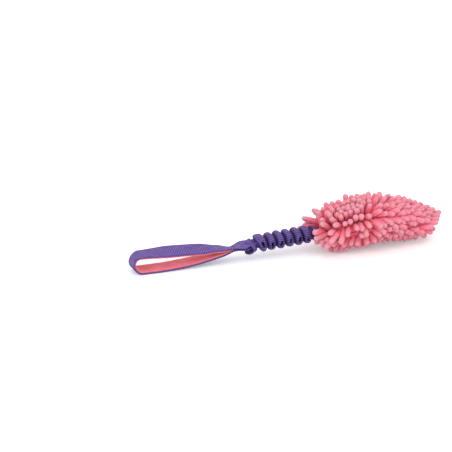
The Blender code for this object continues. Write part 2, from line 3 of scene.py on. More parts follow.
import bmesh
import bpy
import numpy as np
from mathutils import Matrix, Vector


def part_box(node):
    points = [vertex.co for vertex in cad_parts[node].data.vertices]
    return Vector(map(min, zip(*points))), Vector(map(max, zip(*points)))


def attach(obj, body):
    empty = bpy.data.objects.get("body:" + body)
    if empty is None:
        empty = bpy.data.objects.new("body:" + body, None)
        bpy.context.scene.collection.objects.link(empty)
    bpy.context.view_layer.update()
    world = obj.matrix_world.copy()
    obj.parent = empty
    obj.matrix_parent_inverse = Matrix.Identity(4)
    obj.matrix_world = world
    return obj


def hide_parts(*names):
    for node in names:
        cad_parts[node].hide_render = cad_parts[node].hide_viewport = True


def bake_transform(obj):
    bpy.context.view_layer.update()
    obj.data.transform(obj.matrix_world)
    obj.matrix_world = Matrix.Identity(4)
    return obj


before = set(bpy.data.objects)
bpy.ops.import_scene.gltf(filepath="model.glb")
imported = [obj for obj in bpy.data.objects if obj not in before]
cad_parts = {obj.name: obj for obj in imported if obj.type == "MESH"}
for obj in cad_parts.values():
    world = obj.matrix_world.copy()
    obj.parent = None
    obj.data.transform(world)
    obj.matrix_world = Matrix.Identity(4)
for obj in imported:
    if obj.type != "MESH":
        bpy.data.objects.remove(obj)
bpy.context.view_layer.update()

# A bungee tug toy: webbing hand loop, gathered sleeve over an elastic cord, chenille mop.
# Places along the toy are counted in metres from the outside of the loop's bend,
# and bendX is where that lies in the frame.
mm = 0.001
scene = bpy.context.scene
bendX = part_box("handle_strap")[0].x
print("frame loaded, bend at", round(bendX, 5))


def smoothStep(t):
    s = np.clip(t, 0.0, 1.0)
    return s * s * (3.0 - 2.0 * s)


# 0 up to start, 1 from start + reach on, and a smooth step between
def eased(value, start, reach):
    return smoothStep((value - start) / reach)


def mix(a, b, share):
    return a + (b - a) * share


# Joins a table's second numbers by smooth steps over its first ones
def easedTable(values, table):
    result = np.full(np.shape(values), float(table[0][1]))
    for (x0, y0), (x1, y1) in zip(table, table[1:]):
        result = np.where(values > x0, mix(y0, y1, eased(values, x0, x1 - x0)), result)
    return result


def roundSteps(count):
    return np.linspace(0.0, 2 * pi, count, endpoint=False)


# Way travelled at each point of a line
def pathLength(x, y):
    return np.concatenate([[0.0], np.cumsum(np.hypot(np.diff(x), np.diff(y)))])


# A table's columns taken at other places
def resample(at, places, table):
    return np.stack([np.interp(at, places, column) for column in table.T], -1)


# A table's columns softened by a kernel
def soften(table, kernel, mode):
    half = len(kernel) // 2
    padded = np.pad(table, ((half, half), (0, 0)), mode=mode)
    return np.stack([np.convolve(column, kernel, "valid") for column in padded.T], -1)


def unit(vectors):
    return vectors / np.maximum(np.linalg.norm(vectors, axis=-1, keepdims=True), 1e-12)


# Parts spread over the same rows and columns and joined along a new last axis
def gridOf(*parts):
    return np.stack(np.broadcast_arrays(*parts), -1)


# Quads between rows r and above and columns c and beside, in a grid so many columns wide
def gridQuads(r, above, c, beside, wide):
    base, top = r * wide, above * wide
    return np.stack([base + c, base + beside, top + beside, top + c], -1).reshape(-1, 4)


# sRGB hex to linear red, green, blue and alpha
def hexColor(code):
    parts = np.array([int(code[k:k + 2], 16) for k in (1, 3, 5)]) / 255.0
    linear = np.where(parts <= 0.04045, parts / 12.92, ((parts + 0.055) / 1.055) ** 2.4)
    return (*linear.tolist(), 1.0)


# Adds a node. inputs are plain values, sockets or nodes, whose first output is taken;
# stops are a colour ramp's places and colours.
def addNode(tree, kind, inputs=None, stops=(), **settings):
    node = tree.nodes.new("ShaderNode" + kind)
    for key, value in settings.items():
        setattr(node, key, value)
    for key, value in (inputs or {}).items():
        if isinstance(value, bpy.types.Node):
            value = value.outputs[0]
        if isinstance(value, bpy.types.NodeSocket):
            tree.links.new(value, node.inputs[key])
        else:
            node.inputs[key].default_value = value
    if stops:
        elements = node.color_ramp.elements
        elements.remove(elements[1])
        for place, code in stops:
            elements.new(place).color = hexColor(code)
        elements.remove(elements[0])
    return node


# A new material's node tree and its Principled shader, with plain values set on the shader itself
def startMaterial(name, values):
    material = bpy.data.materials.new(name)
    material.use_nodes = True
    shader = material.node_tree.nodes["Principled BSDF"]
    for key, value in values.items():
        shader.inputs[key].default_value = value
    return material, material.node_tree, shader


# Mesh of one material from a point array and faces given as index arrays of three or four columns, turned
# outwards. uv holds one pair for each corner of each face, in the same order.
# What would sink into the floor is flattened on it.
def arrayMesh(name, material, points, faceSets, uv=None):
    mesh = bpy.data.meshes.new(name)
    sizes = np.concatenate([np.full(len(f), f.shape[1]) for f in faceSets])
    corners = np.concatenate([f.ravel() for f in faceSets])
    mesh.vertices.add(len(points))
    raised = np.array(points, np.float32)
    raised[:, 2] = np.maximum(raised[:, 2], 0.0)
    mesh.vertices.foreach_set("co", raised.ravel())
    mesh.loops.add(len(corners))
    mesh.loops.foreach_set("vertex_index", corners.astype(np.int32))
    mesh.polygons.add(len(sizes))
    mesh.polygons.foreach_set("loop_start", np.concatenate([[0], np.cumsum(sizes)[:-1]]).astype(np.int32))
    mesh.polygons.foreach_set("use_smooth", np.ones(len(sizes), bool))
    if uv is not None:
        layer = mesh.uv_layers.new(name="cloth")
        layer.data.foreach_set("uv", np.asarray(uv, np.float32).ravel())
    mesh.update(calc_edges=True)
    mesh.validate()
    bm = bmesh.new()
    bm.from_mesh(mesh)
    bmesh.ops.recalc_face_normals(bm, faces=bm.faces)
    bm.to_mesh(mesh)
    bm.free()
    mesh.materials.append(material)
    piece = bpy.data.objects.new(name, mesh)
    scene.collection.objects.link(piece)
    return piece


# Tube over a grid of points, row by row along it and column by column round it.
# uvGrid has one more column than points, for the seam. Each end closes on a middle point.
def closedTube(name, material, points, uvGrid):
    rows, cols, _ = points.shape
    wide = cols + 1
    r, k = np.arange(rows - 1)[:, None], np.arange(cols)
    n = (k + 1) % cols
    base = (rows - 1) * cols
    ends = np.stack([points[0].mean(0), points[-1].mean(0)])
    allPoints = np.concatenate([points.reshape(-1, 3), ends])
    first = np.stack([np.full(cols, rows * cols), n, k], -1)
    last = np.stack([np.full(cols, rows * cols + 1), base + k, base + n], -1)
    corners = (gridQuads(r, r + 1, k, k + 1, wide), np.stack([k, k + 1, k], -1),
               (rows - 1) * wide + np.stack([k, k, k + 1], -1))
    uv = np.concatenate([uvGrid.reshape(-1, 2)[part].reshape(-1, 2) for part in corners])
    return arrayMesh(name, material, allPoints, [gridQuads(r, r + 1, k, n, cols), first, last], uv)


# Links a colour and a bump node to a material's shader
def linkShader(tree, shader, colour, bump):
    tree.links.new(colour, shader.inputs["Base Color"])
    tree.links.new(bump.outputs[0], shader.inputs["Normal"])


# Tubular nylon webbing, matt, with a painted highlight on its raised stitches and painted shade between them.
# The strap is a check of stitches 2.9 mm wide and 3.2 mm long, and the sleeve has ribs 3 mm wide. Both are
# coarser than real ones, so that they show.
# edgeTurn puts the middle of a column on the strap's edge, edgePlace mm round its section.
strapColumn, edgePlace = 2.918, 24.53
webbing = dict(stops=((0.06, "#22124c"), (0.42, "#6c4ea6"), (0.86, "#ab93e6")), relief=0.4 * mm,
               # painted shade in the hollows between the folds: its colour, how far the occlusion reaches and
               # how strongly it darkens
               creviceShade="#4e4074", shadeReach=9 * mm, shadeDepth=2.6,
               edgeTurn=pi / 2 - pi * edgePlace / strapColumn)


# Sizes in mm; slant is how many stitches a stitch moves from one side of its column to the other.
# stitch and groove are sines along and across: height = (0.2 * stitch + 0.8) * |groove| where ribbed,
# else 0.5 * stitch * groove + 0.5. Painted shade: the hollows between the folds are darkened by
# occlusion^2.6.
# Inputs 6 and 7 of a colour mix are its two colours, and its output 2 is their mixture.
def webbingMaterial(name, columnWidth, stitchPitch, slant, ribbed, shade):
    material, tree, shader = startMaterial(name, {
        "Roughness": 0.72, "Sheen Weight": 0.15, "Sheen Roughness": 0.45,
        "Sheen Tint": hexColor("#b9a2e6"), "Specular IOR Level": 0.35})
    split = addNode(tree, "SeparateXYZ", {0: addNode(tree, "UVMap", uv_map="cloth")})
    column = addNode(tree, "Math", {0: split, 1: columnWidth}, operation="DIVIDE")
    zigzag = addNode(tree, "Math", {0: column, 1: 1.0}, operation="PINGPONG")
    along = addNode(tree, "Math", {0: split.outputs[1], 1: stitchPitch}, operation="DIVIDE")
    phase = addNode(tree, "Math", {0: zigzag, 1: slant, 2: along}, operation="MULTIPLY_ADD")
    wave = addNode(tree, "Math", {0: phase, 1: 2 * pi}, operation="MULTIPLY")
    stitch = addNode(tree, "Math", {0: wave}, operation="SINE")
    turn = addNode(tree, "Math", {0: column, 1: pi, 2: webbing["edgeTurn"]}, operation="MULTIPLY_ADD")
    groove = addNode(tree, "Math", {0: turn}, operation="SINE")
    if ribbed:
        rib = addNode(tree, "Math", {0: groove}, operation="ABSOLUTE")
        raised = addNode(tree, "Math", {0: stitch, 1: 0.2, 2: 0.8}, operation="MULTIPLY_ADD")
        height = addNode(tree, "Math", {0: raised, 1: rib}, operation="MULTIPLY")
    else:
        knot = addNode(tree, "Math", {0: stitch, 1: groove}, operation="MULTIPLY")
        height = addNode(tree, "Math", {0: knot, 1: 0.5, 2: 0.5}, operation="MULTIPLY_ADD")
    spot = addNode(tree, "TexCoord").outputs["Object"]
    wear = addNode(tree, "TexNoise", {"Vector": spot, "Scale": 190.0, "Detail": 4.0})
    mixed = addNode(tree, "Math", {0: wear, 1: 0.6, 2: -0.25}, operation="MULTIPLY_ADD")
    # painted highlight and shade: the stitches' height lightens raised stitches and darkens the grooves; the
    # noise adds random tone
    tone = addNode(tree, "Math", {0: height, 1: 0.95, 2: mixed}, operation="MULTIPLY_ADD")
    ramp = addNode(tree, "ValToRGB", {0: tone}, stops=webbing["stops"])
    tint = addNode(tree, "Mix", {"Factor": 1.0, 6: ramp, 7: hexColor(shade)},
                   data_type="RGBA", blend_type="MULTIPLY")
    # painted shade: occlusion pulls the colour towards the dark shade colour in the hollows between the folds
    creviceShade = addNode(tree, "AmbientOcclusion", {"Distance": webbing["shadeReach"]},
                      samples=8, only_local=True)
    shadeFactor = addNode(tree, "Math", {0: creviceShade.outputs["AO"], 1: webbing["shadeDepth"]}, operation="POWER")
    paintedShade = addNode(tree, "Mix", {"Factor": shadeFactor, 6: hexColor(webbing["creviceShade"]), 7: (1, 1, 1, 1)},
                   data_type="RGBA")
    tint = addNode(tree, "Mix", {"Factor": 1.0, 6: tint.outputs[2], 7: paintedShade.outputs[2]},
                   data_type="RGBA", blend_type="MULTIPLY")
    bump = addNode(tree, "Bump", {"Strength": 0.8, "Distance": webbing["relief"], "Height": height})
    linkShader(tree, shader, tint.outputs[2], bump)
    return material


strapCloth = webbingMaterial("checked nylon webbing", strapColumn, 3.2, 0.0, False, "#c2bacc")
sleeveCloth = webbingMaterial("gathered nylon webbing", 3.0, 2.4, 0.4, True, "#b8acc4")

# Brushed polyester fleece: a soft matt nap with a painted highlight on its tips and painted shade in its
# hollows
fleece = dict(stops=((0.25, "#c04a60"), (0.52, "#e07080"), (0.85, "#f0909c")), nap=1.1 * mm)
liningCloth, tree, shader = startMaterial("brushed polyester fleece", {
    "Roughness": 0.95, "Sheen Weight": 0.5, "Sheen Roughness": 0.6,
    "Sheen Tint": hexColor("#ffc4cc"), "Specular IOR Level": 0.2})
spot = addNode(tree, "TexCoord").outputs["Object"]
nap = addNode(tree, "TexNoise", {"Vector": spot, "Scale": 1.0 / fleece["nap"], "Detail": 5.0,
                                 "Roughness": 0.65})
patch = addNode(tree, "TexNoise", {"Vector": spot, "Scale": 70.0, "Detail": 2.0})
both = addNode(tree, "Math", {0: patch, 1: 0.6}, operation="MULTIPLY")
# painted highlight on the nap's tips and painted shade in its hollows; the broad patches are random tone
tone = addNode(tree, "Math", {0: nap, 1: 0.5, 2: both}, operation="MULTIPLY_ADD")
ramp = addNode(tree, "ValToRGB", {0: tone}, stops=fleece["stops"])
bump = addNode(tree, "Bump", {"Strength": 0.6, "Distance": 0.4 * mm, "Height": nap})
linkShader(tree, shader, ramp.outputs[0], bump)

# Microfibre chenille: tufted pile, with a painted highlight that pales its tips and painted shade that makes
# it deep pink down among the strands. The map "cloth" holds each strand's share of its length and its own
# tone, and the ramp is read at share + 0.34 * lumps + 0.26 * pile + 0.16 * own - 0.38.
chenille = dict(stops=((0.08, "#fa718b"), (0.45, "#fb8299"), (1.0, "#e299a8")), pile=0.9 * mm)
strandPile, tree, shader = startMaterial("microfibre chenille", {
    "Roughness": 0.85, "Sheen Weight": 0.3, "Sheen Roughness": 0.5, "Sheen Tint": hexColor("#ffd0d6"),
    "Subsurface Weight": 0.5, "Subsurface Radius": (6.0 * mm, 2.2 * mm, 2.4 * mm),
    "Subsurface Scale": 1.0, "Specular IOR Level": 0.2})
split = addNode(tree, "SeparateXYZ", {0: addNode(tree, "UVMap", uv_map="cloth")})
spot = addNode(tree, "TexCoord").outputs["Object"]
pile = addNode(tree, "TexNoise", {"Vector": spot, "Scale": 1.0 / chenille["pile"], "Detail": 4.0,
                                  "Roughness": 0.6})
lumps = addNode(tree, "TexNoise", {"Vector": spot, "Scale": 260.0, "Detail": 2.0})
shift = addNode(tree, "Math", {0: lumps, 1: 0.34, 2: -0.38}, operation="MULTIPLY_ADD")
fine = addNode(tree, "Math", {0: pile, 1: 0.26, 2: shift}, operation="MULTIPLY_ADD")
own = addNode(tree, "Math", {0: split.outputs[1], 1: 0.16, 2: fine}, operation="MULTIPLY_ADD")
share = addNode(tree, "Math", {0: split, 1: own}, operation="ADD")
# painted shade towards a strand's root and a painted highlight towards its tip; the noise and each strand's
# own tone add random tone
ramp = addNode(tree, "ValToRGB", {0: share}, stops=chenille["stops"])
bump = addNode(tree, "Bump", {"Strength": 0.7, "Distance": 0.5 * mm, "Height": pile})
linkShader(tree, shader, ramp.outputs[0], bump)


# A plain soft surface with a fine grain: knitted ground cloth, bonded thread, braided elastic, foam
def grainMaterial(name, light, dark, grain, roughness, relief):
    material, tree, shader = startMaterial(name, {
        "Roughness": roughness, "Sheen Weight": 0.2, "Specular IOR Level": 0.3})
    spot = addNode(tree, "TexCoord").outputs["Object"]
    noise = addNode(tree, "TexNoise", {"Vector": spot, "Scale": 1.0 / grain, "Detail": 3.0})
    ramp = addNode(tree, "ValToRGB", {0: noise}, stops=((0.3, dark), (0.7, light)))
    bump = addNode(tree, "Bump", {"Strength": 0.5, "Distance": relief, "Height": noise})
    linkShader(tree, shader, ramp.outputs[0], bump)
    return material


groundCloth = grainMaterial("knitted polyester ground", "#e0647c", "#fa718b", 0.8 * mm, 0.95, 0.3 * mm)
tackThread = grainMaterial("bonded nylon thread", "#6f50ac", "#38226c", 0.5 * mm, 0.55, 0.15 * mm)
cordBraid = grainMaterial("braided elastic cord", "#cfcac2", "#8f8a84", 0.7 * mm, 0.7, 0.2 * mm)
padFoam = grainMaterial("open-cell foam", "#e8e2d4", "#c4bca8", 1.2 * mm, 0.95, 0.3 * mm)
print("materials made")

# The strap's path, which the solids follow too
strap = dict(
    width=25 * mm, thickness=2.2 * mm, loopLength=128.5 * mm, loopHeight=23.5 * mm, flatEnd=24 * mm,
    meetingHeight=15 * mm, neckLength=14.5 * mm, tailEnd=162 * mm, tailWidth=16 * mm, taper=12 * mm,
    taperLead=1 * mm, gap=0.3 * mm, step=0.5 * mm, upperPower=2.4, lowerPower=2.0, bendLean=-8.0,
    upperLean=((0.10, 0.0), (0.38, 10.0), (0.68, 8.0), (0.86, -5.0), (1.0, -16.0)),
    lowerLean=((0.10, 0.0), (0.52, 0.0), (0.86, -6.0), (1.0, -16.0)),
    pick=3.2 * mm, scallop=0.5 * mm, ripple=0.10 * mm)
sleeve = dict(
    start=143 * mm, frontGroove=158 * mm, folds=159.2 * mm, pitch=11.65 * mm, count=6, rearGroove=230.3 * mm,
    end=242.9 * mm, startHeight=17.6 * mm, endHeight=24.0 * mm, elasticFlat=10 * mm,
    elasticThickness=2.4 * mm)


def sleeveHeight(s):
    slope = (sleeve["endHeight"] - sleeve["startHeight"]) / (sleeve["end"] - sleeve["start"])
    return sleeve["startHeight"] + slope * (s - sleeve["start"])


# Share of the way along the sleeve's tapered end
def coneShare(s):
    return eased(s, sleeve["rearGroove"], sleeve["end"] - sleeve["rearGroove"])


# Middle of the doubled strap: a straight rise along the neck, then the sleeve's line
def neckHeight(s):
    share = (s - strap["loopLength"]) / strap["neckLength"]
    rise = mix(strap["meetingHeight"], sleeve["startHeight"], share)
    return np.where(s >= sleeve["start"], sleeveHeight(s), rise)


# The neck starts with the loop's sideways lean and ends level
def neckLean(s):
    return radians(strap["upperLean"][-1][1]) * (1.0 - eased(s, strap["loopLength"], strap["neckLength"]))


# One run of the loop: z = height + (end - height) * share^power
def loopRun(share, place, height, end, power, leans):
    s = mix(place, strap["loopLength"], share)
    lean = np.radians(easedTable(s / strap["loopLength"], leans))
    return gridOf(s, mix(height, end, share ** power), lean, strap["width"])


# The strap as stations (s, z, lean, width) from the upper tail round the bend to the lower tail:
# the upper run falls as share^2.4, the bend is a half circle, the lower run rises as share^2.
# They are then taken at even steps and softened by a bell 11 stations wide.
def strapStations():
    layer = (strap["thickness"] + strap["gap"]) / 2
    split = sleeve["elasticThickness"] / 2 + strap["gap"] + strap["thickness"] / 2
    s = np.linspace(strap["tailEnd"], strap["loopLength"], 60)
    parting = sleeve["frontGroove"] - sleeve["elasticFlat"] / 2 - 2 * strap["gap"] - sleeve["start"]
    apart = mix(layer, split, eased(s, sleeve["start"], parting))
    lean = neckLean(s)
    narrowed = smoothStep((s - sleeve["start"] + strap["taperLead"]) / strap["taper"])
    width = mix(strap["width"], strap["tailWidth"], narrowed)
    upperTail = gridOf(s, neckHeight(s) + apart / np.cos(lean), lean, width)
    lowerTail = gridOf(s, neckHeight(s) - apart / np.cos(lean), lean, width)[::-1]

    radius, middle = (strap["loopHeight"] - strap["thickness"]) / 2, strap["loopHeight"] / 2
    top, floor = strap["loopHeight"] - strap["thickness"] / 2, strap["thickness"] / 2
    upper = loopRun(np.linspace(1.0, 0.0, 240)[1:], middle, top, upperTail[-1, 1],
                    strap["upperPower"], strap["upperLean"])
    turn = pi / 2 + pi * np.linspace(0.0, 1.0, 80)[1:-1]
    lean = radians(strap["bendLean"]) * smoothStep(np.abs(np.cos(turn)))
    bend = gridOf(middle + radius * np.cos(turn), middle + radius * np.sin(turn), lean, strap["width"])
    flat = gridOf(np.linspace(middle, strap["flatEnd"], 20)[:-1], floor, 0.0, strap["width"])
    lower = loopRun(np.linspace(0.0, 1.0, 240)[:-1], strap["flatEnd"], floor, lowerTail[0, 1],
                    strap["lowerPower"], strap["lowerLean"])
    stations = np.concatenate([upperTail, upper, bend, flat, lower, lowerTail])
    length = pathLength(stations[:, 0], stations[:, 1])
    even = np.arange(0.0, length[-1], strap["step"])
    bell = np.exp(-np.linspace(-2.0, 2.0, 11) ** 2)
    return soften(resample(even, length, stations), bell / bell.sum(), "edge"), even


# Each station's point, width direction and inward normal
def stationFrames(stations):
    s, z, lean, _ = stations.T
    points = gridOf(bendX + s, 0.0, z)
    tangent = unit(np.gradient(points, axis=0))
    across = gridOf(0.0, np.cos(lean), np.sin(lean))
    return points, across, unit(np.cross(tangent, across))


# Section of a flat band whose edges are half circles, from one corner of its upper face all the way round.
# Returns shares of the half width, of the edge's radius outwards and of the half thickness.
band = dict(flatSteps=22, edgeSteps=7)


def bandSection():
    flat = np.linspace(-1.0, 1.0, band["flatSteps"], endpoint=False)
    arc = np.linspace(pi / 2, -pi / 2, band["edgeSteps"], endpoint=False)
    face, edge, none = np.ones_like(flat), np.ones_like(arc), np.zeros_like(flat)
    side = np.concatenate([flat, edge, -flat, -edge])
    edgeOut = np.concatenate([none, np.cos(arc), none, -np.cos(arc)])
    return side, edgeOut, np.concatenate([face, np.sin(arc), -face, -np.sin(arc)])


# Three slow waves along a band: a * sin(2 pi * arc / w + start + slant * side)
def bandWaves(arcs, side, table, slants, seed):
    rng = np.random.default_rng(seed)
    starts = rng.uniform(0, 6, 3)
    return sum(a * np.sin(2 * pi * arcs[:, None] / w + start + slant * side)
               for (a, w), start, slant in zip(table, starts, rng.uniform(*slants, 3)))


# Band along the stations: section points = middle + across * (half width) + normal * (half thickness).
# Its map counts mm round the section and along the band.
def bandPiece(name, stations, arcs, thickness, seed):
    points, across, normal = stationFrames(stations)
    side, edgeOut, level = bandSection()
    half = thickness / 2
    halfWidth = (stations[:, 3] / 2 - half)[:, None]
    picks = np.abs(np.sin(pi * arcs / strap["pick"]))[:, None]
    reach = halfWidth * side + (half + strap["scallop"] * (picks - 1.0)) * edgeOut
    waves = bandWaves(arcs, side, ((0.5, 31 * mm), (0.3, 17 * mm), (0.2, 9 * mm)), (1, 4), seed)
    rise = half * level + strap["ripple"] * (waves - 1.0) * level
    grid = points[:, None] + across[:, None] * reach[..., None] + normal[:, None] * rise[..., None]
    counts = [band["flatSteps"], band["edgeSteps"]]
    steps = np.repeat([(strap["width"] - thickness) / counts[0], pi / 2 * thickness / counts[1]], counts)
    around = np.concatenate([[0.0], np.cumsum(np.tile(steps, 2))]) / mm
    return closedTube(name, strapCloth, grid, gridOf(around[None], arcs[:, None] / mm))


stations, arcs = strapStations()
handStrap = bandPiece("hand_strap", stations, arcs, strap["thickness"], 3)
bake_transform(handStrap)
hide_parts("handle_strap")

# Fleece inside the loop, which thins out into the V where the two runs meet
lining = dict(width=24 * mm, thickness=1.6 * mm, end=127.2 * mm, thinFrom=114 * mm, thin=0.35 * mm,
              ripple=0.16 * mm)
loopRows = np.flatnonzero(stations[:, 0] <= lining["end"])
inLoop = slice(loopRows[0], loopRows[-1] + 1)
liningStations, liningArcs = stations[inLoop], arcs[inLoop]
thinning = eased(liningStations[:, 0], lining["thinFrom"], lining["end"] - lining["thinFrom"])
half = (mix(lining["thickness"], lining["thin"], thinning) / 2)[:, None]
points, across, normal = stationFrames(liningStations)
side, edgeOut, level = bandSection()
waves = bandWaves(liningArcs, side, ((0.4, 13 * mm), (0.35, 5.3 * mm), (0.25, 3.1 * mm)), (2, 9), 5)
reach = (lining["width"] / 2 - half) * side + half * edgeOut * (1.0 + 0.25 * waves)
rise = half * level + lining["ripple"] * (waves - 0.7) * np.maximum(level, 0.0) * half / half.max()
middle = points + normal * (strap["thickness"] / 2 + strap["gap"] / 3 + half)
grid = middle[:, None] + across[:, None] * reach[..., None] + normal[:, None] * rise[..., None]
uv = gridOf(np.linspace(0, 50, len(side) + 1)[None], liningArcs[:, None] / mm)
loopLining = closedTube("loop_lining", liningCloth, grid, uv)
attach(loopLining, "handle")
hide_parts("handle_lining")
print("hand loop made,", len(handStrap.data.polygons), "and", len(loopLining.data.polygons), "faces")

# The gathered sleeve. Its profile runs from inside the hood, round the mouth's lip and over the folds to the
# cone. girth is its way round in mm, for the weave.
gather = dict(
    wall=1.2 * mm, crestHeight=10.3 * mm, crestWidth=14.4 * mm, valleyHeight=4.9 * mm, valleyWidth=8.5 * mm,
    mouthHeight=8.6 * mm, mouthWidth=13.4 * mm, mouthDrop=2.4 * mm, mouthSetback=3.0 * mm, scoop=7 * mm,
    hoodTop=0.74, hoodGap=1.2 * mm, roundness=2.2, sectionRoundness=2.35, bulge=0.022, skew=0.35 * mm,
    hoodRise=((0.0, 0.62), (0.62, 0.58), (0.86, 0.42), (1.0, 0.0)), girth=76.0,
    coneRise=((0.0, 0.0), (0.16, 0.72), (0.42, 0.60), (1.0, 0.0)), coneGap=0.4 * mm,
    valleyGap=1.5 * mm, coneEndHeight=2.6 * mm, coneEndWidth=8.0 * mm, tilt=0.15, frontTilt=(0.48, 0.30),
    slotReach=2.7 * mm, slotHalf=1.2 * mm, slotDepth=0.45, slotRim=0.4 * mm, rowsPerFold=40, columns=150,
    slotLift=(2.4 * mm, -0.2 * mm, -0.4 * mm, 0.3 * mm, 0.2 * mm, -1.8 * mm),
    slotSlant=(0.05, -0.1, -0.45, -0.25, -0.35, -0.1), slotOpen=(1.0, 0.9, 0.9, 0.5, 1.0, 0.4),
    swell=(1.0, 0.97, 1.02, 0.98, 1.0, 0.96), seed=8)


# Rows of place, rise, inset, share of the mouth and fold (-1 is the hood, -2 the cone).
# Fold k is a superellipse hump, x = centre + half * c^(2/n), rise = s^(2/n).
def sleeveProfile():
    mouth, wall = sleeve["start"] + gather["mouthSetback"], gather["wall"]
    hood = sleeve["frontGroove"] - gather["hoodGap"] - mouth
    t = np.linspace(0.8, 0.0, 34)
    rows = [gridOf(mouth + hood * t, easedTable(t, gather["hoodRise"]), wall, 1.0 - t, -1.0)]
    lip = np.linspace(0.0, pi, 7)[1:-1]
    rows.append(gridOf(mouth - 0.5 * wall * np.sin(lip), gather["hoodRise"][0][1],
                       wall * (1.0 + np.cos(lip)) / 2, 1.0, -1.0))
    t = np.linspace(0.0, 1.0, 44)
    rows.append(gridOf(mouth + hood * t, easedTable(t, gather["hoodRise"]), 0.0, 1.0 - t, -1.0))
    turn = np.linspace(0.0, pi, gather["rowsPerFold"])
    power = 2 / gather["roundness"]
    c, rise = -np.cos(turn), np.abs(np.sin(turn)) ** power
    x = (sleeve["pitch"] - gather["valleyGap"]) / 2 * (np.sign(c) * np.abs(c) ** power)
    for k in range(sleeve["count"]):
        centre = sleeve["folds"] + (k + 0.5) * sleeve["pitch"]
        rows.append(gridOf(centre + x, rise * gather["swell"][k], 0.0, 0.0, k))
    t = np.linspace(0.0, 1.0, 40)
    coneStart = sleeve["rearGroove"] + gather["coneGap"]
    cone = coneStart + (sleeve["end"] - coneStart) * t
    rows.append(gridOf(cone, easedTable(t, gather["coneRise"]), 0.0, 0.0, -2.0))
    return np.concatenate(rows)


def sleevePiece():
    profile = sleeveProfile()
    s, rise, inward, mouthShare, fold = (column[:, None] for column in profile.T)
    phi = roundSteps(gather["columns"])[None]
    c, z = np.cos(phi), np.sin(phi)
    e = 2.0 / gather["sectionRoundness"]
    c, z = np.sign(c) * np.abs(c) ** e, np.sign(z) * np.abs(z) ** e
    cone = np.where(fold == -2, coneShare(s), 0.0)
    low = mix(gather["valleyHeight"], gather["coneEndHeight"], cone)
    wide = mix(gather["valleyWidth"], gather["coneEndWidth"], cone)
    halfHeight = low + (gather["crestHeight"] - gather["valleyHeight"]) * rise
    halfWidth = wide + (gather["crestWidth"] - gather["valleyWidth"]) * rise
    opened = smoothStep(mouthShare)
    halfHeight = mix(halfHeight, gather["mouthHeight"], opened) - inward
    halfWidth = mix(halfWidth, gather["mouthWidth"], opened) - inward
    rng = np.random.default_rng(gather["seed"])
    # soft unevenness: slow waves round each fold
    waves = np.zeros_like(halfHeight * c)
    index = fold.astype(int) + 2
    for order in (2, 3, 5):
        amount, start = rng.uniform(0.3, 1.0, 8) / order, rng.uniform(0, 2 * pi, 8)
        waves = waves + amount[index] * np.sin(order * phi + start[index])
    bulge = 1.0 + gather["bulge"] * waves * np.clip(rise, 0.0, 1.0)
    y, up = halfWidth * c * bulge, halfHeight * z * bulge
    up = up * np.where(up > 0, mix(1.0, gather["hoodTop"], smoothStep(3.0 * mouthShare)), 1.0)
    # the flat tube's side crease stays as a dark slot in each fold's side, with a rolled rim round it
    lift, slant, openness = (np.array([0.0, 0.0, *gather[key]])[index]
                             for key in ("slotLift", "slotSlant", "slotOpen"))
    centre = sleeve["folds"] + (fold + 0.5) * sleeve["pitch"]
    across = (s - centre + slant * (up - lift)) / gather["slotHalf"]
    fromSlot = (across ** 4 + ((up - lift) / gather["slotReach"]) ** 4) ** 0.25
    onSide = np.where(fold >= 0, eased(np.abs(c), 0.3, 0.3), 0.0)
    y = y * (1.0 - gather["slotDepth"] * openness * onSide * np.exp(-fromSlot ** 4))
    y = y + np.sign(y) * gather["slotRim"] * onSide * np.exp(-((fromSlot - 1.55) / 0.35) ** 2)
    drop = gather["mouthDrop"] * mouthShare ** 2
    skew = gather["skew"] * np.sin(phi + start[index]) * np.clip(rise, 0.0, 1.0)
    # the first fold is drawn over the hood: its front leans most
    nearFront = smoothStep(1.0 - np.abs(s - sleeve["frontGroove"]) / sleeve["pitch"])
    frontTilt = np.where(up > 0, *gather["frontTilt"])
    lean = gather["tilt"] * (1.0 - cone) * (1.0 - opened) + frontTilt * nearFront
    x = bendX + s - lean * up + skew
    x = x + gather["scoop"] * mouthShare * (y / gather["mouthWidth"]) ** 2
    grid = gridOf(x, y, sleeveHeight(s) - drop + up)
    length = pathLength(profile[:, 0], halfHeight[:, 0])
    around = np.linspace(0.0, 1.0, gather["columns"] + 1) * gather["girth"]
    return closedTube("gathered_sleeve", sleeveCloth, grid, gridOf(around[None], length[:, None] / mm))


gatheredSleeve = sleevePiece()
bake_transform(gatheredSleeve)
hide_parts("bungee_sleeve")
print("gathered sleeve made,", len(gatheredSleeve.data.polygons), "faces")

# The elastic inside: flat where it is sewn, round between, half width = flat + (round - flat) * smooth step.
# It rises by lift at its rear, over the tab.
elastic = dict(radius=4.0 * mm, flatHalf=5.5 * mm, flatThickness=2.4 * mm, swell=6 * mm, lead=4 * mm,
               lift=1.35 * mm, liftLead=11 * mm, sides=20, rows=90)
finish = sleeve["rearGroove"] + sleeve["elasticFlat"] / 2
s = np.linspace(sleeve["frontGroove"] - sleeve["elasticFlat"] / 2, finish, elastic["rows"])[:, None]
swell, flatHeight = elastic["swell"], elastic["flatThickness"] / 2
full = smoothStep((s - sleeve["frontGroove"] - elastic["lead"]) / swell)
full = full * smoothStep((finish - sleeve["elasticFlat"] - s) / swell)
phi = roundSteps(elastic["sides"])[None]
y = mix(elastic["flatHalf"], elastic["radius"], full) * np.cos(phi)
up = mix(flatHeight, elastic["radius"], full) * np.sin(phi)
lift = elastic["lift"] * smoothStep((s - sleeve["rearGroove"] + elastic["liftLead"]) / swell)
uv = gridOf(np.linspace(0, 25, elastic["sides"] + 1)[None], s / mm)
elasticCord = closedTube("elastic_cord", cordBraid, gridOf(bendX + s, y, sleeveHeight(s) + lift + up), uv)
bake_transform(elasticCord)
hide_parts("elastic_core")

